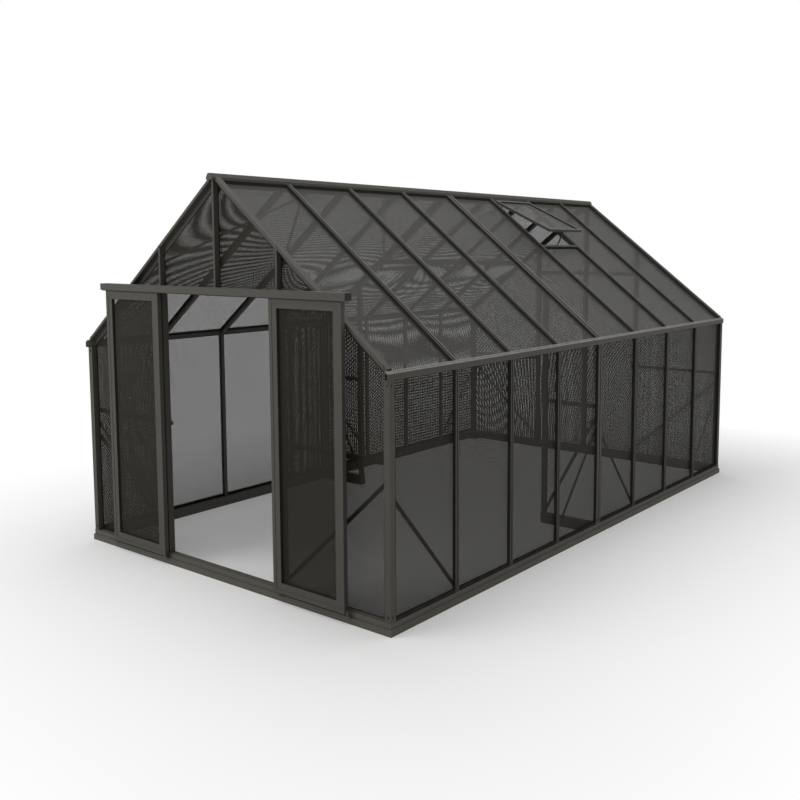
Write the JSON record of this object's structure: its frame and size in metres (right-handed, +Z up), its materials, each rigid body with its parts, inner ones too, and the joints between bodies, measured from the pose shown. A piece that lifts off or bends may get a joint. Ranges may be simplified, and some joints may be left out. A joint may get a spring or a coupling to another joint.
{
  "type": "shade house",
  "caption": "Gable-roofed shade house: an aluminium frame clad in stretched dark mesh, with sliding doors on a track, a tilting roof vent and an open walk-in inside.",
  "frame": {"origin": "on the ground, under the centre of the whole house's bounding box", "axes": "+Z up, -Y out of the front gable with the doors, +X to the right as seen from the front"},
  "size_m": [3, 5.065, 2.7024],
  "materials": {
    "frame": "powder coated, satin",
    "mesh": "woven, matte",
    "roller": "moulded",
    "fixings": "plated, dark",
    "end_cap": "moulded"
  },
  "bodies": {
    "house": {"base_front": "frame", "base_back": "frame", "base_left": "frame", "base_right": "frame", "anchor_brackets": "frame", "corner_posts": "frame", "left_wall_studs": "frame", "right_wall_studs": "frame", "wall_braces": "frame", "left_eave_beam": "frame", "right_eave_beam": "frame", "ridge_beam": "frame", "ridge_end_caps": "frame", "left_rafters": "frame", "right_rafters": "frame", "gable_rafters": "frame", "roof_braces": "frame", "front_jambs": "frame", "front_king_stud": "frame", "back_studs": "frame", "header_rails": "frame", "gable_mid_rails": "frame", "gable_braces": "frame", "mid_frame_posts": "frame", "mid_frame_sills": "frame", "mid_frame_rails": "frame", "mid_frame_braces": "frame", "collar_tie": "frame", "left_wall_mesh": "mesh", "right_wall_mesh": "mesh", "left_roof_mesh": "mesh", "right_roof_mesh": "mesh", "front_gable_mesh": "mesh", "back_gable_mesh": "mesh", "door_track": "frame", "track_end_caps": "end_cap", "door_guides": "frame", "door_stops": "frame", "vent_sill": "frame", "vent_hinge_rod": "fixings", "frame_bolts": "fixings"},
    "left_door": {"left_door_frame": "frame", "left_door_mesh": "mesh", "left_door_hangers": "fixings"},
    "left_door_roller_inner": {"left_door_roller_inner": "roller"},
    "left_door_roller_outer": {"left_door_roller_outer": "roller"},
    "right_door": {"right_door_frame": "frame", "right_door_mesh": "mesh", "right_door_hangers": "fixings"},
    "right_door_roller_inner": {"right_door_roller_inner": "roller"},
    "right_door_roller_outer": {"right_door_roller_outer": "roller"},
    "roof_vent": {"roof_vent_frame": "frame", "roof_vent_mesh": "mesh"},
    "roof_vent_stay": {"roof_vent_stay": "fixings"}
  },
  "joints": [
    {"name": "left_door_slide", "type": "slide", "parent": "house", "child": "left_door", "axis": [1, 0, 0], "range_m": [0, 0.5555]},
    {"name": "left_door_roller_inner_spin", "type": "hinge", "parent": "left_door", "child": "left_door_roller_inner", "pos_m": [-0.64704, -2.5185, 1.9393], "axis": [0, 1, 0], "continuous": true},
    {"name": "left_door_roller_outer_spin", "type": "hinge", "parent": "left_door", "child": "left_door_roller_outer", "pos_m": [-1.07708, -2.5185, 1.9393], "axis": [0, 1, 0], "continuous": true},
    {"name": "right_door_slide", "type": "slide", "parent": "house", "child": "right_door", "axis": [-1, 0, 0], "range_m": [0, 0.5555]},
    {"name": "right_door_roller_inner_spin", "type": "hinge", "parent": "right_door", "child": "right_door_roller_inner", "pos_m": [0.64704, -2.5185, 1.9393], "axis": [0, -1, 0], "continuous": true},
    {"name": "right_door_roller_outer_spin", "type": "hinge", "parent": "right_door", "child": "right_door_roller_outer", "pos_m": [1.07708, -2.5185, 1.9393], "axis": [0, -1, 0], "continuous": true},
    {"name": "roof_vent_hinge", "type": "hinge", "parent": "house", "child": "roof_vent", "pos_m": [0.04866, 0.94281, 2.63988], "axis": [0, -1, 0], "range_deg": [-13, 17]},
    {"name": "roof_vent_stay_pivot", "type": "hinge", "parent": "roof_vent", "child": "roof_vent_stay", "pos_m": [0.6058, 0.94281, 2.35581], "axis": [0, -1, 0], "range_deg": [-17, 13]}
  ],
  "couplings": [
    {"joint": "left_door_roller_inner_spin", "follows": "left_door_slide", "rad_per_m": 76.923},
    {"joint": "left_door_roller_outer_spin", "follows": "left_door_slide", "rad_per_m": 76.923},
    {"joint": "right_door_roller_inner_spin", "follows": "right_door_slide", "rad_per_m": 76.923},
    {"joint": "right_door_roller_outer_spin", "follows": "right_door_slide", "rad_per_m": 76.923},
    {"joint": "roof_vent_stay_pivot", "follows": "roof_vent_hinge", "ratio": -1}
  ]
}
